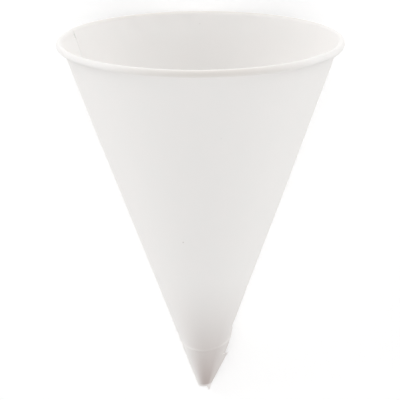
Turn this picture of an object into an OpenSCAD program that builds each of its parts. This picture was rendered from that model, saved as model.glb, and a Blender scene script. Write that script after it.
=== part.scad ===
// Cone paper cup with a rolled rim, wound from one sector of white paper.
// The cup is drawn point down round the z axis, with its front at -y and its lap at +y,
// and is then laid on its side, as it comes to rest: the heavier lapped side goes down.

/* [Paper] */
// Thickness of the paper
paper_t = 0.2; // [0.15:0.01:0.3]
// Angle of the sector of paper that is wound into the cone
blank_angle = 171; // [150:1:200]
// Angle round the back of the cone over which the paper lies double
lap_angle = 130; // [80:5:160]

/* [Rim] */
// Diameter over the rolled rim
rim_d = 73; // [55:1:95]
// Diameter of the roll itself, where the paper is single
roll_d = 1.75; // [1.4:0.05:3]
// Angle through which the edge of the paper is rolled
roll_turn = 300; // [250:5:305]

/* [Tip] */
// Width of the blunt end of the tip
tip_w = 2.6; // [2:0.1:4]
// Height of the wound paper that closes the tip
plug_h = 3; // [1:0.1:6]
// Rise from the blunt end to the lowest point of the outer turn, at the front
tongue_rise = 10.4; // [9:0.1:20]
// Slope at which the lower edge of the outer turn climbs from the front to the back
tongue_slope = 23; // [10:1:35]
// Slope at which that edge climbs from the left to the right
tongue_tilt = 3.4; // [0:0.1:8]
// How far the inner turn at the tip reaches up behind the outer turn
tuck = 3; // [1:0.5:15]

/* [Free edge at the tip] */
// Direction of the free edge of the tip's paper, measured round from the right-hand side
free_edge = 9; // [0:1:20]
// Direction of the line on which that paper has swung open, measured the same way
hinge = -62; // [-75:1:-50]
// Rise from the blunt end to the tear that crosses the free edge
tear_rise = 8.5; // [6:0.1:9.5]
// Angle at which the paper below the tear stands open
lower_open = 12; // [6:1:20]
// Rise from the blunt end to the top of the paper that stands open above the tear
upper_rise = 15.9; // [13:0.1:20]
// Angle at which the paper above the tear stands open
upper_open = 4.5; // [2:0.5:8]
// Direction from which a sliver of paper reaches below the blunt end, round to the free edge
sliver_start = -40; // [-50:5:-10]
// Length of that sliver
sliver = 1.1; // [0.5:0.1:2]

/* [Hidden] */
$fn = 120;
paper_colour = "#ebe9e7";

// Half the angle of the cone that the sector gives when it is wound with its lap
half_angle = asin(blank_angle / (360 + lap_angle));
// Paper thickness measured square to the axis
level_t = paper_t / cos(half_angle);
// Share of a thickness by which each edge of the lap beds into the other turn
bed = 0.05;
// The lapped turns stand over to the right, so that the single turn runs from under them to over them
lap_shift = (0.5 - bed) * level_t / sin(lap_angle / 2);
// The single turn reaches a little way into both ends of the lap, and the open paper in behind its hinge
reach = 2;

// Roll of the single turn, with its middle at the end of the straight wall
roll_r = roll_d / 2;
wall_end = (rim_d / 2 - roll_r * (1 + cos(half_angle))) / sin(half_angle);
// The second turn of paper makes the roll fatter, by a little less than two thicknesses
lap_roll_r = roll_r + 0.7 * paper_t;
// Inner face of the lapped wall, seen from the inner face of the single wall
lap_face = -paper_t / 2;

// Heights above the point where the inner faces of the cone would meet
tip_bed = 0.3;
tip_turns = 1.5;
end_z = (tip_w / 2 - tip_bed * level_t) / tan(half_angle);
plug_z = end_z + plug_h;
tongue_z = end_z + tongue_rise;
tongue_front = face_r(tongue_z) + level_t;
tongue_back_z = (tongue_z + tongue_front * tan(tongue_slope)) / (1 - tan(half_angle) * tan(tongue_slope));
tuck_z = tongue_back_z + tuck;
sliver_z = end_z - sliver;
tear_z = end_z + tear_rise;
open_top_z = end_z + upper_rise;

// Radius of the inner face of the single wall at a height, and of the tip turn that beds against it
function face_r(z) = z * tan(half_angle);
function tip_r(z) = face_r(z) + tip_bed * level_t;
function tip_inner_r(z) = tip_r(z) - tip_turns * level_t;
// Line on the cone that the open paper swings on
hinge_line = [cos(hinge) * sin(half_angle), sin(hinge) * sin(half_angle), cos(half_angle)];

// How the cup lies: a level floor touches the back of the roll and the back edge of the blunt end
roll_y = wall_end * sin(half_angle) + (lap_face + lap_roll_r) * cos(half_angle);
roll_z = wall_end * cos(half_angle) - (lap_face + lap_roll_r) * sin(half_angle);
end_to_roll = norm([roll_y - tip_w / 2, roll_z - end_z]);
lean = atan2(roll_y - tip_w / 2, roll_z - end_z) + asin(lap_roll_r / end_to_roll);
floor_drop = tip_w / 2 * cos(lean) - end_z * sin(lean);
mouth_y = roll_y * sin(lean) + roll_z * cos(lean) + lap_roll_r;
sliver_y = sliver_z * cos(lean) + tip_r(sliver_z) * sin(sliver_start) * sin(lean);

// Flat strip of wall that ends in an open roll. x runs outwards from the inner face
// and y runs along the wall, up from the point of the cone.
module wall_section(face, turns, roll) {
  wall = turns * paper_t;
  low_end = tongue_z / cos(half_angle) - 2 * paper_t;
  rotate(-half_angle) {
    translate([face, low_end])
      square([wall, wall_end - low_end]);
    translate([face + roll, wall_end])
      difference() {
        circle(r = roll);
        circle(r = roll - wall);
        roll_gap(2 * roll);
      }
  }
}

// Wedge left open between the wall and the end of the roll
module roll_gap(size) {
  gap = 360 - roll_turn;
  polygon([
    [0, 0],
    [-size, 0],
    [-size, -size * tan(gap / 2)],
    size * [-cos(gap), -sin(gap)]
  ]);
}

// The turn that shows from the front. It lies under the lap at its right end and over it at its left end.
module single_turn() {
  rotate_extrude(start = 90 + lap_angle / 2 - reach, angle = 360 - lap_angle + 2 * reach)
    wall_section(0, 1, roll_r);
}

// The two turns that lie on each other at the back
module lapped_turns() {
  translate([lap_shift, 0, 0])
    rotate_extrude(start = 90 - lap_angle / 2, angle = lap_angle)
      wall_section(lap_face, 2, lap_roll_r);
}

// What is trimmed away below the sloping edge of the outer turn
module tongue_trim() {
  size = 4 * tuck_z;
  translate([0, -tongue_front, tongue_z])
    rotate([tongue_slope, -tongue_tilt, 0])
      translate([-size / 2, -size / 2, -size])
        cube(size);
}

// Inner turn of the tip, closed by wound paper above its blunt end
module tip_turn() {
  rotate_extrude()
    polygon([
      [0, end_z],
      [tip_r(end_z), end_z],
      [tip_r(tuck_z), tuck_z],
      [tip_inner_r(tuck_z), tuck_z],
      [tip_inner_r(plug_z), plug_z],
      [0, plug_z]
    ]);
}

// Paper between two heights, from the hinge round to the free edge, with its outer face
// out from the inner face of the single wall
module free_paper(low, high, out) {
  rotate_extrude(start = hinge - 2 * reach, angle = free_edge - hinge + 2 * reach)
    polygon([
      [face_r(low) + out - level_t, low],
      [face_r(low) + out, low],
      [face_r(high) + out, high],
      [face_r(high) + out - level_t, high]
    ]);
}

// What is missing beside the sliver, below the blunt end
module sliver_trim() {
  rotate_extrude(start = hinge - 4 * reach, angle = sliver_start - hinge + 4 * reach)
    translate([0, sliver_z - sliver])
      square([tip_w, 2 * sliver]);
}

// Free edge of the tip below the tear, swung open like a door, with a sliver left below the blunt end
module lower_flap() {
  rotate(-lower_open, hinge_line)
    difference() {
      free_paper(sliver_z, tear_z - paper_t, tip_bed * level_t);
      sliver_trim();
    }
}

// Free edge above the tear, slightly open
module upper_flap() {
  rotate(-upper_open, hinge_line)
    free_paper(tear_z, open_top_z, tip_bed * level_t);
}

// Corner of the outer turn that the upper flap pushes out
module pushed_corner() {
  rotate(-upper_open, hinge_line)
    free_paper(tear_z, open_top_z, (1 - bed) * level_t);
}

// The whole cup, point down
module wound_cup() {
  difference() {
    union() {
      single_turn();
      lapped_turns();
      pushed_corner();
    }
    tongue_trim();
  }
  tip_turn();
  lower_flap();
  upper_flap();
}

module cone_cup() {
  color(paper_colour)
    translate([0, -(mouth_y + sliver_y) / 2, floor_drop])
      rotate([lean - 90, 0, 0])
        wound_cup();
}

cone_cup();
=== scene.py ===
# %% [markdown]
# # A cone paper cup
# The real cup is one sector of white paper. A machine winds it into a cone, with a broad lap at the
# back, rolls its round edge outwards into the rim and twists its point shut. This file follows the same
# order: rim and wall, tip, loose corners, paper, and then the studio around it. The cup is modelled
# point down round the z axis, because a cone is easy to think about that way, and is laid on its side
# at the end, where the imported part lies.

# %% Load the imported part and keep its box
import math

import bmesh
import bpy
from mathutils import Matrix, Vector


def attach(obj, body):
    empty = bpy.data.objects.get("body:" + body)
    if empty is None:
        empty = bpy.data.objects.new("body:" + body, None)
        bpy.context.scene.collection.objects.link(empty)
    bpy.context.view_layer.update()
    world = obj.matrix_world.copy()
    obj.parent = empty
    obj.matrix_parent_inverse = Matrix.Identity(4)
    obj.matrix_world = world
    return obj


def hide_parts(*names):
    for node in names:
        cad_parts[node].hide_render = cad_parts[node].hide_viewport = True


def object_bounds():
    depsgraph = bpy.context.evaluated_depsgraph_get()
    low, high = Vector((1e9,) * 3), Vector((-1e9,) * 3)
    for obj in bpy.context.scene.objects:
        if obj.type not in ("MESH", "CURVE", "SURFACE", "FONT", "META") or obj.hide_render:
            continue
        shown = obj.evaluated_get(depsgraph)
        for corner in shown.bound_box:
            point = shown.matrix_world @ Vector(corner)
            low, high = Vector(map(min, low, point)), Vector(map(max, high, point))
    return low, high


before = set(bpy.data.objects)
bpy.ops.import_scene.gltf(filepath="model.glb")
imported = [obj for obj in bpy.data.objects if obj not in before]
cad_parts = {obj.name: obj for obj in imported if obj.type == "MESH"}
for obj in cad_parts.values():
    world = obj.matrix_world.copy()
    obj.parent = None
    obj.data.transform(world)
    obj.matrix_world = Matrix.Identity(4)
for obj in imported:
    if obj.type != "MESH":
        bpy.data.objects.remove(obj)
cad_lo, cad_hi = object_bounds()
MM = 0.001
print("the part's box in mm:", [round(side / MM, 2) for side in cad_hi - cad_lo])

# %% [markdown]
# ## Sizes
# A few sizes drive the whole cup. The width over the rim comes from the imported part's box. The angle of
# the cone isn't chosen: it follows from the sector of paper and from how far it is wound round, because
# the round edge of the sector has to reach round the cone and then along the lap.

# %% Sizes of the paper and of the cone
paper = 0.2 * MM
sector_angle = math.radians(171)
lap_angle = math.radians(130)
wound_angle = 2 * math.pi + lap_angle
half_angle = math.asin(sector_angle / wound_angle)
sin_h, cos_h = math.sin(half_angle), math.cos(half_angle)

rim_r = (cad_hi.x - cad_lo.x) / 2
roll_r = 0.875 * MM
wall_end = (rim_r - roll_r - roll_r * cos_h) / sin_h

FRONT, BACK = math.radians(-90), math.radians(90)
lap_off_middle = math.radians(2.5)
lap_start = BACK + lap_angle / 2 + lap_off_middle
print("half angle of the cone:", round(math.degrees(half_angle), 2), "degrees")

# %% [markdown]
# Places on a cone are easiest to say along the wall and out from it. These helpers turn such a place
# into x, y and z and back again, so that vertices can be picked by where they are on the paper.

# %% Places on the upright cone
def wall_point(azimuth, along, out):
    """Place at a distance along the wall from the point of the cone, and out from its inner face."""
    radius = along * sin_h + out * cos_h
    height = along * cos_h - out * sin_h
    return Vector((radius * math.cos(azimuth), radius * math.sin(azimuth), height))


def on_wall(place):
    """Distances along the wall and out from it of a place, the opposite of wall_point."""
    radius = math.hypot(place.x, place.y)
    return radius * sin_h + place.z * cos_h, radius * cos_h - place.z * sin_h


print("height at which the wall ends in mm:", round(wall_point(FRONT, wall_end, 0).z / MM, 2))

# %% [markdown]
# ## Picking and editing
# Operators act on whatever is selected. So each step below opens one object, picks vertices or edges by
# a test on their place, and only then calls the operator, as a hand would with the mouse.

# %% Helpers that open an object and pick parts of it
def select_only(*pieces):
    """Selects these objects and no others, and makes the first of them the active one."""
    bpy.ops.object.select_all(action="DESELECT")
    for piece in pieces:
        piece.select_set(True)
    bpy.context.view_layer.objects.active = pieces[0]


def open_mesh(piece):
    """Makes one object the only selected one and enters edit mode on it."""
    select_only(piece)
    bpy.ops.object.mode_set(mode="EDIT")


def close_mesh():
    bpy.ops.object.mode_set(mode="OBJECT")


def pick(kind, test):
    """Selects, in edit mode, only the verts or edges that pass the test, and counts them."""
    bpy.ops.mesh.select_mode(type={"verts": "VERT", "edges": "EDGE"}[kind])
    bpy.ops.mesh.select_all(action="DESELECT")
    mesh = bmesh.from_edit_mesh(bpy.context.edit_object.data)
    chosen = [part for part in getattr(mesh, kind) if test(part)]
    for part in chosen:
        part.select_set(True)
    mesh.select_flush_mode()
    bmesh.update_edit_mesh(bpy.context.edit_object.data)
    return len(chosen)


def middle(part):
    """Middle of an edge or a face."""
    return sum((v.co for v in part.verts), Vector()) / len(part.verts)


# %% [markdown]
# ## The edge of the paper: wall and roll
# Cut through the rim, the paper is a long straight wall that curls over outwards into a roll, and the
# roll has been pressed a little flat. The sheet is drawn without thickness and starts at the inner edge
# of the lap. By the front, winding will have moved it by a share of one layer: the wall outwards, and
# the roll towards its own middle. The sizes of the finished roll hold at the front, so that share is
# allowed for here, and so is half a thickness.

# %% Sizes of the roll
layer = 1.05 * paper  # wound paper never lies quite tight
front_turn = lap_start - FRONT
to_front = layer * front_turn / (2 * math.pi)
start_out = paper / 2 - to_front
bead_high, bead_wide = 1.0 * MM, 0.84 * MM
roll_high = bead_high - paper / 2 + to_front
roll_wide = bead_wide - paper / 2 + to_front
roll_inside = 0.005 * MM
roll_out = start_out + roll_wide - roll_inside
neck_angle = math.acos(1 - roll_inside / roll_wide)
roll_turn = math.radians(300)
print("half sizes of the roll where the sheet starts, in mm:", [
    round(half / MM, 3) for half in (roll_high, roll_wide)])

# %% [markdown]
# A curve object could draw this profile, but a circle does it with real radii. Scaled to an oval, the
# circle is the roll, and some of its vertices are taken out where the roll is open.

# %% The roll as an opened oval
bpy.ops.object.select_all(action="DESELECT")
bpy.ops.mesh.primitive_circle_add(
    vertices=48, radius=roll_high,
    location=wall_point(lap_start, wall_end, roll_out),
    rotation=(math.pi / 2, half_angle, lap_start))
profile = bpy.context.object
profile.name = "cup_profile"
profile.scale.x = roll_wide / roll_high
bpy.ops.object.transform_apply(location=True, rotation=True, scale=True)


def roll_angle(place):
    """Angle round the roll: 0 on its inner side, a quarter turn at its top, half a turn outside."""
    along, out = on_wall(place)
    angle = math.atan2((along - wall_end) / roll_high, (roll_out - out) / roll_wide)
    return (angle + neck_angle) % (2 * math.pi) - neck_angle


open_mesh(profile)
taken = pick("verts", lambda v: roll_angle(v.co) > roll_turn)
bpy.ops.mesh.delete(type="VERT")
close_mesh()
print("vertices taken out where the roll is open:", taken)

# %% [markdown]
# The inner end of the roll, its neck, is extruded down the wall in three lengths. A single length would
# give long thin faces. Three can be divided finely under the roll and near the tip, where the paper will
# be bent, and coarsely between. Bevel then rounds the corner at the neck.

# %% The wall, extruded from the inner end of the roll
same_place, close_by = 1e-7, 0.1 * MM
wall_stops = [wall_end - 8 * MM, 24 * MM / cos_h, 12 * MM / cos_h]
wall_cuts = [12, 26, 26]
neck_round = 0.5 * MM

open_mesh(profile)
ends = [v.co.copy() for v in bmesh.from_edit_mesh(profile.data).verts if len(v.link_edges) == 1]
neck = min(ends, key=roll_angle)
joints = [neck] + [wall_point(lap_start, stop, start_out) for stop in wall_stops]
pick("verts", lambda v: (v.co - neck).length < same_place)
for upper, lower in zip(joints, joints[1:]):
    bpy.ops.mesh.extrude_region_move(TRANSFORM_OT_translate={"value": lower - upper})
for upper, lower, cuts in zip(joints, joints[1:], wall_cuts):
    pick("edges", lambda e: (middle(e) - (upper + lower) / 2).length < close_by)
    bpy.ops.mesh.subdivide(number_cuts=cuts)
pick("verts", lambda v: (v.co - neck).length < same_place)
bpy.ops.mesh.bevel(affect="VERTICES", offset=neck_round, segments=5)
close_mesh()
print("vertices in the profile:", len(profile.data.vertices))

# %% [markdown]
# ## Winding the sheet
# The paper goes round 1.36 times. Spin sweeps the profile round the axis, but a sweep of more than a
# full turn would meet itself, and then a place round the axis would no longer tell which layer it is on.
# So the sheet is spun in two stretches of less than a turn, both from copies of the same profile: one
# from the free inner edge to the front, and one from the front to the free outer edge.

# %% Spin the two stretches
turn_step = math.radians(1.8)


def face_outwards():
    """Merges what meets, in edit mode, and turns all faces away from the z axis."""
    bpy.ops.mesh.select_all(action="SELECT")
    bpy.ops.mesh.remove_doubles(threshold=same_place)
    bpy.ops.mesh.normals_make_consistent(inside=False)
    mesh = bmesh.from_edit_mesh(bpy.context.edit_object.data)
    low_face = min(mesh.faces, key=lambda f: middle(f).z)
    if low_face.normal.dot(middle(low_face) * Vector((1, 1, 0))) < 0:
        bpy.ops.mesh.flip_normals()


def spin_stretch(stretch, turn):
    """Sweeps a profile round the axis, towards smaller azimuths, with its faces turned outwards."""
    open_mesh(stretch)
    bpy.ops.mesh.select_all(action="SELECT")
    bpy.ops.mesh.spin(steps=round(turn / turn_step), angle=turn, center=(0, 0, 0), axis=(0, 0, 1))
    face_outwards()
    close_mesh()


select_only(profile)
bpy.ops.object.duplicate()
outer_stretch = bpy.context.object
outer_stretch.rotation_euler.z = FRONT - lap_start
bpy.ops.object.transform_apply(location=True, rotation=True, scale=True)
inner_stretch = profile
spin_stretch(inner_stretch, front_turn)
spin_stretch(outer_stretch, wound_angle - front_turn)
print("faces in the two stretches:", len(inner_stretch.data.polygons), len(outer_stretch.data.polygons))

# %% [markdown]
# Many steps from here on move every vertex by its own small amount. By hand, weight painting and a
# Displace modifier do that, so this helper paints the weights from a function and applies the modifier.

# %% Helper that moves each vertex by its own amount
def apply_modifier(piece, kind, **settings):
    """Adds a modifier with its settings and applies it at once."""
    select_only(piece)
    modifier = piece.modifiers.new(kind.title(), kind)
    for name, value in settings.items():
        setattr(modifier, name, value)
    bpy.ops.object.modifier_apply(modifier=modifier.name)


def move_each(piece, direction, most, amount):
    """Moves each vertex along its normal, X, Y or Z by what amount gives for it, at most the distance most.

    The function amount gets the place of the vertex and the middle of the faces round it."""
    group = piece.vertex_groups.new(name="amount")
    mesh = bmesh.new()
    mesh.from_mesh(piece.data)
    for v in mesh.verts:
        beside = sum((middle(f) for f in v.link_faces), Vector()) / len(v.link_faces)
        group.add([v.index], min(1, max(0, amount(v.co, beside) / abs(most))), "REPLACE")
    mesh.free()
    apply_modifier(piece, "DISPLACE", direction=direction, mid_level=0, strength=most, vertex_group="amount")
    piece.vertex_groups.remove(piece.vertex_groups["amount"])


print("vertices in the two stretches:", len(inner_stretch.data.vertices), len(outer_stretch.data.vertices))

# %% [markdown]
# Each turn of paper lies on the one before it, so the sheet moves out along its normals by one layer for
# each turn. On the roll the normals point to its middle, so the outer turn of the wall ends up inside
# the roll, as it does in the real rim.

# %% Lay each turn on the one before
def wound_from(start, place):
    """Angle by which the paper has been wound on its way from a start to a place."""
    slack = 1e-4  # keeps a vertex at the start itself from counting as a whole turn
    return (start - math.atan2(place.y, place.x) + slack) % (2 * math.pi) - slack


def lay_turns(stretch, start, wound_before):
    """Moves a stretch out by one layer for each turn that has been wound."""
    def wound_out(place, beside):
        return layer * (wound_before + wound_from(start, place)) / (2 * math.pi)

    move_each(stretch, "NORMAL", layer * wound_angle / (2 * math.pi), wound_out)


lay_turns(inner_stretch, lap_start, 0)
lay_turns(outer_stretch, FRONT, front_turn)
print("the sheet ends out from where it starts by mm:", round(layer * wound_angle / (2 * math.pi) / MM, 3))

# %% [markdown]
# Where the lap starts, at the left of the inside, the rolling tool has pressed its edge into the paper
# behind it, so its step is thinner than a whole sheet, and has left a crease in that paper just under
# the roll. Moving a row of edges would kink the cone, so both are shares that fade out along the paper.

# %% Press the lap's edge in, and the paper beside it back from the roll
pressed_in, pressed_wide = 0.14 * MM, 4  # mm and degrees
crease_deep, crease_high = 0.2 * MM, 0.6 * MM
crease_along = wall_end - 0.9 * MM
crease_ahead, crease_behind = 35, 6  # degrees


def azimuth_of(place, start=-math.pi):
    """Direction of a place round the axis, as an angle from start up to a full turn more."""
    return start + (math.atan2(place.y, place.x) - start) % (2 * math.pi)


def pressed_down(place, beside):
    """How far the edge is pressed in: all at the edge itself, and nothing a few degrees on."""
    return pressed_in * (1 - math.degrees(wound_from(lap_start, place)) / pressed_wide)


def pressed_back(place, beside):
    """Depth of the crease: deepest at the lap's edge, gone a few degrees behind it and by the left side."""
    past = math.degrees(azimuth_of(place, 0) - lap_start)
    share = max(0, 1 - past / crease_ahead) ** 2 if past >= 0 else max(0, 1 + past / crease_behind)
    return crease_deep * share * math.exp(-((on_wall(place)[0] - crease_along) / crease_high) ** 2)


move_each(inner_stretch, "NORMAL", pressed_in, pressed_down)
move_each(outer_stretch, "NORMAL", crease_deep, pressed_back)
print("the lap's step is left at mm:", round((layer - pressed_in) / MM, 2))

# %% [markdown]
# The two stretches now meet at the front. Bridging them would add a row of faces, but their vertices
# already lie on each other there, so the stretches are joined and merged, and are one sheet again.

# %% Join the two stretches
merge_within = 0.01 * MM

select_only(inner_stretch, outer_stretch)
bpy.ops.object.join()
wall = bpy.context.object
wall.name = "cup_wall"
open_mesh(wall)
bpy.ops.mesh.select_all(action="SELECT")
bpy.ops.mesh.remove_doubles(threshold=merge_within)
close_mesh()
print("vertices in the wound sheet:", len(wall.data.vertices))

# %% [markdown]
# ## Marks of use
# No paper rim is quite true. This one hangs a little lower on the right, has shallow dents pushed out
# under the back of the roll, and a small kink in the roll at the front right. Sculpting could make such
# marks, but proportional editing says them in numbers: a few vertices are moved, and the paper round
# them follows less and less.

# %% Tilt and dent the rim
tilt, tilt_band, tilt_reach = math.radians(-0.4), 1 * MM, 40 * MM
dents = ((122, 0.16), (109, 0.12), (96, 0.12), (68, 0.1))  # directions in degrees, depths in mm
dent_below, dent_size, dent_reach = 1.8 * MM, 0.9 * MM, 2.5 * MM
kink, kink_out = math.radians(-35), 1.2 * MM
kink_in, kink_up, kink_size, kink_reach = 0.1 * MM, 0.12 * MM, 0.8 * MM, 4 * MM


def nudge(place, radius, move, reach):
    """Moves what is near a place, in edit mode, and what is round it less and less, as a finger would."""
    pick("verts", lambda v: (v.co - place).length < radius)
    bpy.ops.transform.translate(value=move, use_proportional_edit=True,
                                proportional_edit_falloff="SMOOTH", proportional_size=reach)


open_mesh(wall)
pick("verts", lambda v: on_wall(v.co)[0] > wall_end - tilt_band)
bpy.ops.transform.rotate(
    value=tilt, orient_axis="Y", center_override=(0, 0, wall_end * cos_h),
    use_proportional_edit=True, proportional_edit_falloff="SMOOTH", proportional_size=tilt_reach)
for degrees, deep in dents:
    azimuth = math.radians(degrees)
    outwards = Vector((math.cos(azimuth), math.sin(azimuth), 0))
    nudge(wall_point(azimuth, wall_end - dent_below, 0), dent_size, outwards * deep * MM, dent_reach)
nudge(wall_point(kink, wall_end, kink_out), kink_size,
      Vector((-kink_in * math.cos(kink), -kink_in * math.sin(kink), kink_up)), kink_reach)
close_mesh()
print("rim from lowest to highest in mm:", [round(edge(
    v.co.z for v in wall.data.vertices if on_wall(v.co)[0] > wall_end) / MM, 2) for edge in (min, max)])

# %% [markdown]
# Under the stiff rim, the right side of the wall bellies out by about a quarter of a millimetre. So wide
# and soft a form is no job for a few nudged vertices. Each vertex moves to the right by a share that
# fades towards the front, the back, the roll and the tip.

# %% Let the right side belly out
belly_out = 0.28 * MM
belly_top, belly_fade = wall_end - 1.5 * MM, 5 * MM
belly_low, belly_full = 30 * MM, 55 * MM


def bellied(place, beside):
    """All of it at the right, from a little under the roll to half way down the wall."""
    sideways_share = max(0, math.cos(azimuth_of(place))) ** 2
    under_roll = min(1, max(0, (belly_top - on_wall(place)[0]) / belly_fade))
    above_tip = min(1, max(0, (place.z - belly_low) / (belly_full - belly_low)))
    return belly_out * sideways_share * under_roll * above_tip


move_each(wall, "X", belly_out, bellied)
print("widest place of the wall to the right in mm:", round(max(
    v.co.x for v in wall.data.vertices if on_wall(v.co)[0] < belly_top) / MM, 2))

# %% [markdown]
# ## The sloping lower edge
# Near the point, the outer turn stops at an edge that shows as a curved line: a plane cuts the cone
# there, low at the front and rising to the back. A Boolean could make that cut, but the sheet has no
# thickness yet, so Bisect does it more simply, and clears what is below it. A second cut a short way up,
# which clears nothing, leaves a line of edges for the next step.

# %% Trim the sheet
tip_end_r = 1.3 * MM
tip_proud = 0.3 * paper
end_z = (tip_end_r - tip_proud / cos_h) * cos_h / sin_h
tongue_z = end_z + 10.65 * MM
tongue_tilt, tongue_slope = math.radians(2.6), math.radians(23)
tongue_place = Vector((0, -(tongue_z * sin_h + paper) / cos_h, tongue_z))
tongue_up = Vector((-math.tan(tongue_tilt), -math.tan(tongue_slope), 1)).normalized()
flare_long, flare_out = 0.45 * MM, 0.17 * MM

open_mesh(wall)
for above, clear in ((0, True), (flare_long, False)):
    bpy.ops.mesh.select_all(action="SELECT")
    bpy.ops.mesh.bisect(plane_co=tongue_place + above * tongue_up, plane_no=tongue_up, clear_inner=clear)
close_mesh()
print("lowest point of the sheet in mm:", round(min(v.co.z for v in wall.data.vertices) / MM, 2))

# %% [markdown]
# The cutter has turned the edge out a little, so a light line runs along it. The strip between the two
# cuts is moved out along its normals, and the upper cut holds the fold.

# %% Turn the cut edge out
def turned_out(place, beside):
    """All of it at the cut, and nothing from the upper cut on."""
    return flare_out * (1 - (place - tongue_place).dot(tongue_up) / flare_long)


move_each(wall, "NORMAL", flare_out, turned_out)
print("vertices in the strip between the two cuts:", sum(
    (v.co - tongue_place).dot(tongue_up) < flare_long + same_place for v in wall.data.vertices))

# %% [markdown]
# ## The tip
# Below that edge the inner turns show. They run from behind the outer turn to a blunt end, a little over
# 2 mm wide, where the paper is wound up tight. One long spiral could be spun for them, but only their
# ends are seen. So each turn is a cone with open ends, one layer inside the turn before it, and the
# turns that only close the blunt end are shorter and end unevenly.

# %% The inner turns
tuck_z = 22 * MM
tuck_out = -0.3 * paper
inner_top = tuck_z - 2 * MM
plug_z = end_z + 3 * MM
ring_step = 0.3 * MM
plug_ends = (-0.05 * MM, 0.15 * MM)


def cone_r(z, out):
    """Radius of the cone at a height, for paper that lies out from the inner face of the wall."""
    return (z * sin_h + out) / cos_h


tip_grow = (cone_r(tuck_z, tuck_out) - tip_end_r) / (tuck_z - end_z)


def tip_turn(name, depth, low_z, high_z, sides):
    """Adds one turn of the tip, its outer face a depth inside the tip's own, cut into rings of faces."""
    radii = [tip_end_r + tip_grow * (z - end_z) - depth - paper / 2 for z in (low_z, high_z)]
    bpy.ops.object.select_all(action="DESELECT")
    bpy.ops.mesh.primitive_cone_add(
        vertices=sides, radius1=radii[0], radius2=radii[1], depth=high_z - low_z,
        location=(0, 0, (low_z + high_z) / 2), end_fill_type="NOTHING")
    turn = bpy.context.object
    turn.name = name
    bpy.ops.object.transform_apply(location=True, rotation=True, scale=True)
    open_mesh(turn)
    pick("edges", lambda e: abs(e.verts[0].co.z - e.verts[1].co.z) > (high_z - low_z) / 2)
    bpy.ops.mesh.subdivide(number_cuts=round((high_z - low_z) / ring_step))
    face_outwards()
    close_mesh()
    return turn


free_turn = tip_turn("cup_free_turn", 0, end_z, tuck_z, 120)
tip_turns = [free_turn, tip_turn("cup_inner_turn", layer, end_z, inner_top, 64)]
for count in range(2, 6):
    low_z = end_z + plug_ends[count % 2]
    tip_turns.append(tip_turn(f"cup_plug_turn_{count}", count * layer, low_z, plug_z, 64))
print("turns of paper at the blunt end:", len(tip_turns))

# %% [markdown]
# ## The free edge on the right
# The outermost of these turns begins on the right, and there the glue has let go. Its edge springs away
# from the tip, and a short tear crosses it where it comes out from under the outer turn. Cutting the
# mesh anew would give odd faces. The cone already has edges along both lines, and Edge Split opens them.

# %% Open the seam and the tear
seam, same_angle = math.radians(9), 1e-3
tear_start = math.radians(-25)
tear_z = end_z + 8.5 * MM
ring_slack = 0.16 * MM


def near_ring(edge, z):
    """Whether an edge lies along the ring of the cone that is nearest to a height."""
    return all(abs(v.co.z - z) < ring_slack for v in edge.verts)


open_mesh(free_turn)
seam_edges = pick("edges", lambda e: all(abs(azimuth_of(v.co) - seam) < same_angle for v in e.verts))
bpy.ops.mesh.edge_split(type="EDGE")
tear_edges = pick("edges", lambda e: near_ring(e, tear_z) and tear_start < azimuth_of(middle(e)) < seam)
bpy.ops.mesh.edge_split(type="EDGE")
close_mesh()
print("edges in the seam and in the tear:", seam_edges, tear_edges)

# %% [markdown]
# Under the free edge a sliver of paper hangs below the blunt end. It is extruded from the lowest ring of
# edges, a little way at first, so that its new vertices can be told from the ring, and they are then
# drawn down by different amounts, which makes it pointed.

# %% Draw out the sliver
sliver_start = math.radians(-45)
sliver_long, sliver_first = 1.1 * MM, 0.15 * MM
sliver_peak, sliver_end = 0.65, 1.1

open_mesh(free_turn)
pick("edges", lambda e: near_ring(e, end_z) and sliver_start < azimuth_of(middle(e)) < seam)
bpy.ops.mesh.extrude_edges_move(TRANSFORM_OT_translate={"value": (0, 0, -sliver_first)})
close_mesh()


def drawn_down(place, beside):
    """Longest two thirds of the way round to the seam."""
    share = (azimuth_of(place) - sliver_start) / (seam - sliver_start)
    pointed = min(share / sliver_peak, (sliver_end - share) / (sliver_end - sliver_peak))
    return sliver_long * pointed if place.z < end_z - close_by else 0


move_each(free_turn, "Z", -sliver_long, drawn_down)
print("the sliver reaches below the blunt end by mm:", round(
    (end_z - min(v.co.z for v in free_turn.data.vertices)) / MM, 2))

# %% [markdown]
# The paper swings open from a line on the front of the tip, the hinge, and most at the seam. Above the
# tear it can only push the outer turn out, by the amounts in the list. Below the tear it stands open
# like a door, so it moves more the wider the cone is. Turning a flap on its hinge would tear the sheet
# off at both ends of the tear, so each vertex is moved to the right by its own share instead.

# %% How far the free edge springs out
hinge = math.radians(-62)
hinge_curve = 1.6
door_open = 0.5  # share of the cone's radius
upper_spring = [  # rise above the blunt end and way out, both in mm
    (8.5, 1.4), (10.7, 1.5), (11.9, 1.2), (12.9, 0.75), (13.7, 0.5), (15.0, 0.5), (16.0, 0.0)]


def opening(azimuth):
    """Share of the spring at a direction, from nothing at the hinge to all at the seam."""
    share = (azimuth - hinge) / (seam - hinge)
    return share ** hinge_curve if 0 < share <= 1 else 0


def upper_amount(z):
    """Spring at the seam above the tear, on straight lines between the rows of the list."""
    rise = max(z - end_z, tear_z - end_z) / MM
    for (low, low_amount), (high, high_amount) in zip(upper_spring, upper_spring[1:]):
        if rise <= high:
            return (low_amount + (high_amount - low_amount) * (rise - low) / (high - low)) * MM
    return 0


print("spring at the tear in mm:", round(upper_amount(tear_z) / MM, 2))

# %% Spring the free edge out
most_door, most_push = 3 * MM, 1.5 * MM
push_fade = math.radians(30)


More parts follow.
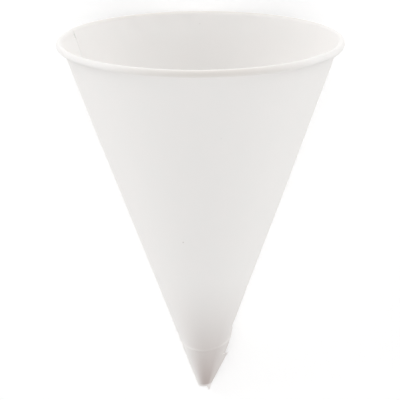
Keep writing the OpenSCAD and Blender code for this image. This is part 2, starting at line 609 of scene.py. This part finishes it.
def free_amount(place, beside):
    """Spring of the free turn. Beside tells on which side of the tear a vertex is."""
    azimuth = azimuth_of(beside)
    if beside.z > tear_z:
        return upper_amount(place.z) * opening(azimuth)
    torn = min(1, max(0, (azimuth - tear_start) / (seam - tear_start)))
    held = upper_amount(tear_z) / cone_r(tear_z, 0)
    return (held + (door_open - held) * torn) * math.hypot(place.x, place.y) * opening(azimuth)


def pushed_amount(place, beside):
    """Spring of the outer turn, pushed out from behind round its lower right edge."""
    azimuth = azimuth_of(place)
    share = opening(azimuth) if azimuth < seam else max(0, 1 - (azimuth - seam) / push_fade)
    return upper_amount(place.z) * share


move_each(free_turn, "X", most_door, free_amount)
move_each(wall, "X", most_push, pushed_amount)
print("how far the free edge springs out in mm:", round((max(
    v.co.x for v in free_turn.data.vertices if v.co.z < tear_z) - cone_r(tear_z, 0)) / MM, 2))

# %% [markdown]
# Two small marks are left. Above the pushed-out corner the wall is drawn in by a trace, as paper is
# beside a bulge, and a nudge does that. The wound tip sits off the axis, a little to the left. Moving
# its turns whole would push them through the wall, so the move fades out where they go in behind it.

# %% Draw the wall in above the corner, and set the tip to the left
drawn_in, drawn_size, drawn_reach = 0.16 * MM, 0.6 * MM, 2 * MM
drawn_along = (end_z + 16.5 * MM) / cos_h
tip_left, left_top, left_fade = 0.37 * MM, 16.5 * MM, 2.5 * MM

open_mesh(wall)
nudge(wall_point(0, drawn_along, 0), drawn_size, (-drawn_in, 0, 0), drawn_reach)
close_mesh()
for turn in tip_turns:
    move_each(turn, "X", -tip_left, lambda place, beside: tip_left * (left_top - place.z) / left_fade)
print("leftmost place of the blunt end in mm:", round(min(
    v.co.x for v in free_turn.data.vertices if abs(v.co.z - end_z) < ring_slack) / MM, 2))

# %% [markdown]
# ## Thickness
# So far every sheet is a surface without thickness. Extruding each one along its normals would do, but
# Solidify does the same and keeps the corners even. All sheets become one mesh first, and get half the
# thickness to each side. The new rim faces are the cut edges of the paper, and they take the second
# material, because raw fibre there is whiter than the face of the sheet.

# %% Join the sheets and give them thickness
select_only(wall, *tip_turns)
bpy.ops.object.join()
cup = bpy.context.object
cup.name = "wound_paper_cup"
cup.vertex_groups.clear()
cup.data.materials.clear()
face_paper = bpy.data.materials.new("uncoated_white_paper")
cut_paper = bpy.data.materials.new("cut_paper_edge")
cup.data.materials.append(face_paper)
cup.data.materials.append(cut_paper)
apply_modifier(cup, "SOLIDIFY", thickness=paper, offset=0, use_even_offset=True, material_offset_rim=1)
bpy.ops.object.shade_smooth_by_angle(angle=math.radians(40))
print("triangles:", sum(len(p.vertices) - 2 for p in cup.data.polygons))

# %% [markdown]
# ## Laying the cup down
# A cone can't stand on its point. It comes to rest on its side, on the lap, which is the heavy side,
# touching the floor with the back of the roll and the back edge of the blunt end. A physics run could
# find that place, but the line that touches both is found by plain geometry, as it was for the part.

# %% Lay it on the floor
lap_roll_r = roll_r + 0.7 * paper  # the roll is fatter where the paper is double
lap_roll = wall_point(BACK, wall_end, lap_roll_r - paper / 2)
end_to_roll_y, end_to_roll_z = lap_roll.y - tip_end_r, lap_roll.z - end_z
lean = (math.atan2(end_to_roll_y, end_to_roll_z)
        + math.asin(lap_roll_r / math.hypot(end_to_roll_y, end_to_roll_z)))
mouth_y = lap_roll.y * math.sin(lean) + lap_roll.z * math.cos(lean) + lap_roll_r
lay_turn = lean - math.pi / 2
lay_move = Vector((0, cad_hi.y - mouth_y, tip_end_r * math.cos(lean) - end_z * math.sin(lean)))

cup.rotation_euler.x = lay_turn
cup.location = lay_move
select_only(cup)
bpy.ops.object.transform_apply(location=True, rotation=True, scale=True)
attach(cup, "root")
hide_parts("cone_cup")
print("lowest point in mm:", round(min(v.co.z for v in cup.data.vertices) / MM, 3))

# %% [markdown]
# ## Paper
# The cup is of uncoated white paper, pressed smooth between plain rolls. That gives the eye a matt and
# faintly warm white, with a cloudy mottle where the fibres settled unevenly. An image could hold every
# tone of it, but the tones follow the cup's own form, so nodes work them out from places on the cone.

# %% Helpers for colours and nodes
def srgb(hex_colour):
    """Linear colour of an sRGB hex value."""
    channels = [int(hex_colour[i:i + 2], 16) / 255 for i in (1, 3, 5)]
    return [c / 12.92 if c <= 0.04045 else ((c + 0.055) / 1.055) ** 2.4 for c in channels] + [1]


def empty_tree(owner):
    """Node tree of a material or a world, with nothing in it yet."""
    owner.use_nodes = True
    owner.node_tree.nodes.clear()
    return owner.node_tree


def add_node(tree, kind, inputs=None, **settings):
    """Adds a node, sets its properties, and fills its sockets with values or links."""
    node = tree.nodes.new(kind)
    for name, value in settings.items():
        setattr(node, name, value)
    for socket, value in (inputs or {}).items():
        if isinstance(value, bpy.types.NodeSocket):
            tree.links.new(value, node.inputs[socket])
        else:
            node.inputs[socket].default_value = value
    return node


print("the paper's two tones in linear red:", [round(srgb(tone)[0], 3) for tone in ("#f9f6f4", "#f6f5f3")])

# %% [markdown]
# Object coordinates belong to the cup as it lies. A Mapping node of the Texture kind undoes the laying
# down, so that every pattern below can use the heights and directions of the upright cone. The mottle
# is as coarse as the clouds are when a sheet is held to the light, about 6 mm.

# %% Clouds in the face of the paper
cloud_size = 6 * MM

tree = empty_tree(face_paper)
lying = add_node(tree, "ShaderNodeTexCoord")
upright = add_node(tree, "ShaderNodeMapping", {
    "Vector": lying.outputs["Object"], "Location": lay_move, "Rotation": (lay_turn, 0, 0)},
    vector_type="TEXTURE")
cloud = add_node(tree, "ShaderNodeTexNoise", {
    "Vector": upright.outputs["Vector"], "Scale": 1 / cloud_size, "Detail": 5.0, "Roughness": 0.6})
mottle = add_node(tree, "ShaderNodeMix", {
    "Factor": cloud.outputs["Fac"], "A": srgb("#f9f6f4"), "B": srgb("#f6f5f3")}, data_type="RGBA")
colour = mottle.outputs["Result"]
print("clouds across the rim:", round(2 * rim_r / cloud_size))

# %% [markdown]
# White paper carries the odd dark speck that was in its pulp, and three show on this cup. A speck is
# only a place and a size, so it needs no texture: the distance from its middle becomes a soft spot. Each
# row gives the direction in degrees, then the height, the way out from the inner face and the radius in
# millimetres, and how dark the speck is.

# %% Specks in the pulp
specks = [
    (-106.7, 45.8, 0.21, 0.17, 0.36),
    (-80.1, 75.07, 0.19, 0.13, 0.21),
    (90.1, 91.2, -0.12, 0.14, 0.18)]
for degrees, height, speck_out, speck_r, dark in specks:
    speck = wall_point(math.radians(degrees), height * MM / cos_h, speck_out * MM)
    away = add_node(tree, "ShaderNodeVectorMath", {
        0: upright.outputs["Vector"], 1: speck}, operation="DISTANCE")
    near = add_node(tree, "ShaderNodeMapRange", {
        "Value": away.outputs["Value"], "From Min": 0.5 * speck_r * MM, "From Max": 1.5 * speck_r * MM,
        "To Min": dark, "To Max": 0.0})
    marked = add_node(tree, "ShaderNodeMix", {
        "Factor": near.outputs["Result"], "A": colour, "B": srgb("#a0948a")}, data_type="RGBA")
    colour = marked.outputs["Result"]
print("specks:", len(specks))

# %% [markdown]
# The twisted point is painted darker and warmer than the wall. This is painted shade, for the light that
# falls off towards the tip, not a tone of the paper. The painted shade deepens downwards on a curve. It is
# strongest at the front right, weaker towards the free edge and almost gone at the back. A ramp by height
# alone would ring the cup evenly, so a share for the height and a share for the direction are multiplied.

# %% How far down the tip the painted shade goes, and which way round
shade_top, shade_end, shade_curve = 35.5 * MM, 4.3 * MM, 1.55

parts = add_node(tree, "ShaderNodeSeparateXYZ", {"Vector": upright.outputs["Vector"]})
down = add_node(tree, "ShaderNodeMapRange", {
    "Value": parts.outputs["Z"], "From Min": shade_top, "From Max": shade_end, "To Min": 0.0, "To Max": 1.0})
deeper = add_node(tree, "ShaderNodeMath", {0: down.outputs["Result"], 1: shade_curve}, operation="POWER")
level = add_node(tree, "ShaderNodeVectorMath", {
    0: upright.outputs["Vector"], 1: (1, 1, 0)}, operation="MULTIPLY")
round_way = add_node(tree, "ShaderNodeVectorMath", {0: level.outputs["Vector"]}, operation="NORMALIZE")
sideways = add_node(tree, "ShaderNodeSeparateXYZ", {"Vector": round_way.outputs["Vector"]})
print("the tip's tone runs over mm:", round((shade_top - shade_end) / MM, 1))

# %% Painted shade on the tip, darker and warmer downwards
darkest_shade_way = (0.64, -0.77, 0)

front_right = add_node(tree, "ShaderNodeVectorMath", {
    0: round_way.outputs["Vector"], 1: darkest_shade_way}, operation="DOT_PRODUCT")
front = add_node(tree, "ShaderNodeMapRange", {  # nearly gone at the back
    "Value": front_right.outputs["Value"], "From Min": -0.3, "From Max": 0.85, "To Min": 0.15, "To Max": 1.0},
    interpolation_type="SMOOTHSTEP")
free_side = add_node(tree, "ShaderNodeMapRange", {  # weaker towards the free edge
    "Value": sideways.outputs["X"], "From Min": 0.6, "From Max": 1.0, "To Min": 1.0, "To Max": 0.65})
round_tip = add_node(tree, "ShaderNodeMath", {
    0: front.outputs["Result"], 1: free_side.outputs["Result"]}, operation="MULTIPLY")
# painted shade: this share darkens the tip's paper
tip_shade_share = add_node(tree, "ShaderNodeMath", {
    0: deeper.outputs["Value"], 1: round_tip.outputs["Value"]}, operation="MULTIPLY")
tip_shaded = add_node(tree, "ShaderNodeMix", {
    "Factor": tip_shade_share.outputs["Value"], "A": colour, "B": srgb("#c9bfbc")},
    data_type="RGBA", blend_type="MULTIPLY")
colour = tip_shaded.outputs["Result"]
print("the tip is darkest at degrees:", round(math.degrees(math.atan2(darkest_shade_way[1], darkest_shade_way[0]))))

# %% [markdown]
# A paler line is painted along the cut: a painted highlight, where the turned-out edge catches the light.
# It follows the plane that trimmed the sheet, so the distance from that plane gives it, which no noise or
# line on an image would do as truly. It is faint at the front and clear at both sides. A second painted
# highlight rings the blunt end.

# %% The painted highlight along the trimmed edge
band_above, band_full, band_gone = 0.25 * MM, 0.1 * MM, 0.45 * MM
faintest_way = (0.34, -0.94, 0)

above_cut = add_node(tree, "ShaderNodeVectorMath", {
    0: upright.outputs["Vector"], 1: tongue_up}, operation="DOT_PRODUCT")
from_band = add_node(tree, "ShaderNodeMath", {
    0: above_cut.outputs["Value"], 1: tongue_place.dot(tongue_up) + band_above}, operation="SUBTRACT")
off_band = add_node(tree, "ShaderNodeMath", {0: from_band.outputs["Value"]}, operation="ABSOLUTE")
band = add_node(tree, "ShaderNodeMapRange", {
    "Value": off_band.outputs["Value"], "From Min": band_full, "From Max": band_gone,
    "To Min": 0.5, "To Max": 0.0})
facing = add_node(tree, "ShaderNodeVectorMath", {
    0: round_way.outputs["Vector"], 1: faintest_way}, operation="DOT_PRODUCT")
off_front = add_node(tree, "ShaderNodeMapRange", {  # faint at the front
    "Value": facing.outputs["Value"], "From Min": 0.5, "From Max": 1.0, "To Min": 1.0, "To Max": 0.15})
side_band = add_node(tree, "ShaderNodeMath", {
    0: band.outputs["Result"], 1: off_front.outputs["Result"]}, operation="MULTIPLY")
print("width of the light band in mm:", round(2 * band_gone / MM, 1))

# %% The painted highlight round the blunt end
ring_full, ring_gone = end_z + 0.3 * MM, end_z + 0.7 * MM

end_band = add_node(tree, "ShaderNodeMapRange", {
    "Value": parts.outputs["Z"], "From Min": ring_full, "From Max": ring_gone, "To Min": 0.7, "To Max": 0.0})
edge_light_share = add_node(tree, "ShaderNodeMath", {
    0: side_band.outputs["Value"], 1: end_band.outputs["Result"]}, operation="MAXIMUM")
# painted highlight: the paper is lightened along the cut and round the blunt end
edge_lightened = add_node(tree, "ShaderNodeMix", {
    "Factor": edge_light_share.outputs["Value"], "A": colour, "B": srgb("#f8f5f3")}, data_type="RGBA")
colour = edge_lightened.outputs["Result"]
print("the ring at the blunt end fades out at a height of mm:", round(ring_gone / MM, 2))

# %% [markdown]
# The roll is painted a trace darker on its outside at the front and on its very top at the back. This is
# painted shade, not wear. To say that, the nodes need the same two distances as on_wall gives, along the
# wall and out from it, so they are worked out once more, from the radius and the height.

# %% Distances along the wall and out from it, as nodes
flat_r = add_node(tree, "ShaderNodeVectorMath", {0: level.outputs["Vector"]}, operation="LENGTH")
r_out = add_node(tree, "ShaderNodeMath", {0: flat_r.outputs["Value"], 1: cos_h}, operation="MULTIPLY")
z_out = add_node(tree, "ShaderNodeMath", {0: parts.outputs["Z"], 1: sin_h}, operation="MULTIPLY")
way_out = add_node(tree, "ShaderNodeMath", {
    0: r_out.outputs["Value"], 1: z_out.outputs["Value"]}, operation="SUBTRACT")
r_along = add_node(tree, "ShaderNodeMath", {0: flat_r.outputs["Value"], 1: sin_h}, operation="MULTIPLY")
z_along = add_node(tree, "ShaderNodeMath", {0: parts.outputs["Z"], 1: cos_h}, operation="MULTIPLY")
way_along = add_node(tree, "ShaderNodeMath", {
    0: r_along.outputs["Value"], 1: z_along.outputs["Value"]}, operation="ADD")
print("nodes in the paper so far:", len(tree.nodes))

# %% Painted shade on the front of the roll
roll_shade_way, roll_shade_from = (0.087, -0.996, 0), 0.7
outside_from, outside_full = 0.5 * MM, 1.2 * MM
roll_low = wall_end - 1.5 * MM

outer = add_node(tree, "ShaderNodeMapRange", {
    "Value": way_out.outputs["Value"], "From Min": outside_from, "From Max": outside_full,
    "To Min": 0.0, "To Max": 1.0})
high = add_node(tree, "ShaderNodeMapRange", {
    "Value": way_along.outputs["Value"], "From Min": roll_low, "From Max": wall_end,
    "To Min": 0.0, "To Max": 1.0})
roll_front = add_node(tree, "ShaderNodeVectorMath", {
    0: round_way.outputs["Vector"], 1: roll_shade_way}, operation="DOT_PRODUCT")
forwards = add_node(tree, "ShaderNodeMapRange", {
    "Value": roll_front.outputs["Value"], "From Min": roll_shade_from, "From Max": 1.0,
    "To Min": 0.0, "To Max": 1.0})
outer_front = add_node(tree, "ShaderNodeMath", {
    0: outer.outputs["Result"], 1: forwards.outputs["Result"]}, operation="MULTIPLY")
front_roll = add_node(tree, "ShaderNodeMath", {
    0: outer_front.outputs["Value"], 1: high.outputs["Result"]}, operation="MULTIPLY")
print("the roll is rubbed at the front over degrees:", round(2 * math.degrees(math.acos(roll_shade_from))))

# %% Painted shade on the back of the roll, and both together
top_from, top_full = wall_end + 0.1 * MM, wall_end + 0.8 * MM

backwards = add_node(tree, "ShaderNodeMapRange", {  # only round the back
    "Value": sideways.outputs["Y"], "From Min": 0.3, "From Max": 0.9, "To Min": 0.0, "To Max": 0.9})
on_top = add_node(tree, "ShaderNodeMapRange", {
    "Value": way_along.outputs["Value"], "From Min": top_from, "From Max": top_full,
    "To Min": 0.0, "To Max": 1.0})
back_roll = add_node(tree, "ShaderNodeMath", {
    0: backwards.outputs["Result"], 1: on_top.outputs["Result"]}, operation="MULTIPLY")
roll_shade_share = add_node(tree, "ShaderNodeMath", {
    0: front_roll.outputs["Value"], 1: back_roll.outputs["Value"]}, operation="MAXIMUM")
# painted shade on the roll, multiplied into the paper's colour
shaded = add_node(tree, "ShaderNodeMix", {
    "Factor": roll_shade_share.outputs["Value"], "A": colour, "B": srgb("#f2efec")},
    data_type="RGBA", blend_type="MULTIPLY")
colour = shaded.outputs["Result"]
print("the roll's top starts above the end of the wall by mm:", round((top_from - wall_end) / MM, 2))

# %% [markdown]
# Uncoated paper scatters light in all directions, so it is rough and shows almost no gloss, and one
# sheet of it isn't quite opaque. Principled gives the matt face, and a small share of Translucent lets
# light through. Transmission would make it look like frosted glass. The grain is drawn about ten times
# as coarse as real fibres are wide, because anything finer wouldn't show.

# %% A thin, matt sheet that lets some light through
grain_size, grain_deep = 0.4 * MM, 0.05 * MM
light_through = 0.06

grain = add_node(tree, "ShaderNodeTexNoise", {
    "Vector": upright.outputs["Vector"], "Scale": 1 / grain_size, "Detail": 4.0, "Roughness": 0.6})
bump = add_node(tree, "ShaderNodeBump", {
    "Height": grain.outputs["Fac"], "Strength": 0.15, "Distance": grain_deep})
matt_face = add_node(tree, "ShaderNodeBsdfPrincipled", {
    "Base Color": colour, "Roughness": 0.8, "IOR": 1.45,
    "Specular IOR Level": 0.3, "Normal": bump.outputs["Normal"]})
let_through = add_node(tree, "ShaderNodeBsdfTranslucent", {"Color": colour, "Normal": bump.outputs["Normal"]})
thin_sheet = add_node(tree, "ShaderNodeMixShader", {
    0: light_through, 1: matt_face.outputs["BSDF"], 2: let_through.outputs["BSDF"]})
add_node(tree, "ShaderNodeOutputMaterial", {"Surface": thin_sheet.outputs["Shader"]})
print("nodes in the face of the paper:", len(tree.nodes))

# %% [markdown]
# The cut edge is the same paper seen end on: torn fibres, rougher and a little whiter than the pressed
# face, which gives the eye a thin pale line round every free edge. Real fibres are about 0.03 mm wide,
# so this pattern too is drawn ten times as coarse.

# %% The cut edge of the paper
fibre_size = 0.3 * MM

tree = empty_tree(cut_paper)
lying = add_node(tree, "ShaderNodeTexCoord")
fibre = add_node(tree, "ShaderNodeTexNoise", {
    "Vector": lying.outputs["Object"], "Scale": 1 / fibre_size, "Detail": 3.0})
raw_tone = add_node(tree, "ShaderNodeMix", {
    "Factor": fibre.outputs["Fac"], "A": srgb("#f6f4f2"), "B": srgb("#fbfaf9")}, data_type="RGBA")
cut_face = add_node(tree, "ShaderNodeBsdfPrincipled", {
    "Base Color": raw_tone.outputs["Result"], "Roughness": 0.9, "Specular IOR Level": 0.2})
add_node(tree, "ShaderNodeOutputMaterial", {"Surface": cut_face.outputs["BSDF"]})
print("faces of cut paper:", sum(p.material_index == 1 for p in cup.data.polygons))

# %% [markdown]
# ## Studio
# The floor is painted matt white, which gives the eye a plain ground with only the cup's own soft shadow
# on it. More light would turn it white but would bleach the cup too. So the paint glows a little, and
# only for rays that look at it: what it throws back onto the cup is its plain white.

# %% Floor
floor_side = 4.0
floor_glow = 0.15

bpy.ops.object.select_all(action="DESELECT")
bpy.ops.mesh.primitive_plane_add(size=floor_side, location=(0, 0, 0))
floor = bpy.context.object
floor.name = "studio_floor"
floor_paint = bpy.data.materials.new("studio_white_paint")
floor.data.materials.append(floor_paint)
tree = empty_tree(floor_paint)
ray = add_node(tree, "ShaderNodeLightPath")
matt = add_node(tree, "ShaderNodeBsdfDiffuse", {"Color": srgb("#f9f9f9")})
glow = add_node(tree, "ShaderNodeEmission", {"Color": srgb("#ffffff"), "Strength": floor_glow})
lit = add_node(tree, "ShaderNodeAddShader", {0: matt.outputs[0], 1: glow.outputs[0]})
direct = add_node(tree, "ShaderNodeMath", {
    0: ray.outputs["Is Camera Ray"], 1: ray.outputs["Is Glossy Ray"]}, operation="MAXIMUM")
looked_at = add_node(tree, "ShaderNodeMath", {
    0: direct.outputs["Value"], 1: ray.outputs["Is Transmission Ray"]}, operation="MAXIMUM")
seen = add_node(tree, "ShaderNodeMixShader", {
    0: looked_at.outputs["Value"], 1: matt.outputs[0], 2: lit.outputs[0]})
add_node(tree, "ShaderNodeOutputMaterial", {"Surface": seen.outputs[0]})
print("side of the floor in m:", floor_side)

# %% [markdown]
# White paper shows its form only by soft changes of tone. An even light all round sets the level, two
# large lamps low on the left and right of the mouth shade the cone to both sides, and a third, above and
# beyond the tip, lights its front. Small or strong lamps would draw hard edges that the cup doesn't show.

# %% Even light all round
even_strength = 0.6

scene = bpy.context.scene
scene.view_settings.view_transform = "Standard"
world = bpy.data.worlds.new("studio_light")
scene.world = world
tree = empty_tree(world)
even = add_node(tree, "ShaderNodeBackground", {"Color": srgb("#ffffff"), "Strength": even_strength})
add_node(tree, "ShaderNodeOutputWorld", {"Surface": even.outputs[0]})
print("strength of the even light:", even_strength)

# %% Soft lamps
lamp_side = 0.9
lit_place = Vector((0, 0, 30 * MM))
lamps = {  # place in m and power in W
    "left_softbox": ((-1.0, 0.8, 0.3), 7.9),
    "right_softbox": ((1.0, 0.8, 0.3), 7.2),
    "tip_softbox": ((0, -0.7, 1.1), 4.4)}
for name, (place, power) in lamps.items():
    bpy.ops.object.light_add(type="AREA", location=place)
    lamp = bpy.context.object
    lamp.name = name
    lamp.data.size = lamp_side
    lamp.data.energy = power
    lamp.rotation_euler = (lit_place - Vector(place)).to_track_quat("-Z", "Y").to_euler()
print("lamps and their power:", {name: power for name, (place, power) in lamps.items()})

# %% [markdown]
# The camera looks down on the lying cup, nearly square to the floor, from where the cup seems to stand
# on its point with its mouth turned a little towards the eye. Its height, lens, aim and roll were fitted
# until the outline of the rim, the sides and the tip fell where they should.

# %% Camera
view_height = math.radians(82.505)
camera_distance = 1.0
camera_roll = math.radians(-1.055)
cup_middle = Vector((0, 0, 25 * MM))
picture_middle = Vector((-0.60, -3.17, 24.55)) * MM

eye = cup_middle + camera_distance * Vector((0, -math.cos(view_height), math.sin(view_height)))
bpy.ops.object.camera_add(location=eye)
camera = bpy.context.object
camera.name = "photo_camera"
camera.data.sensor_width = 36
camera.data.lens = 355.4
aim = (picture_middle - eye).to_track_quat("-Z", "Y").to_matrix()
camera.rotation_euler = (aim @ Matrix.Rotation(camera_roll, 3, "Z")).to_euler()
scene.camera = camera
print("the camera is at m:", [round(number, 3) for number in eye])
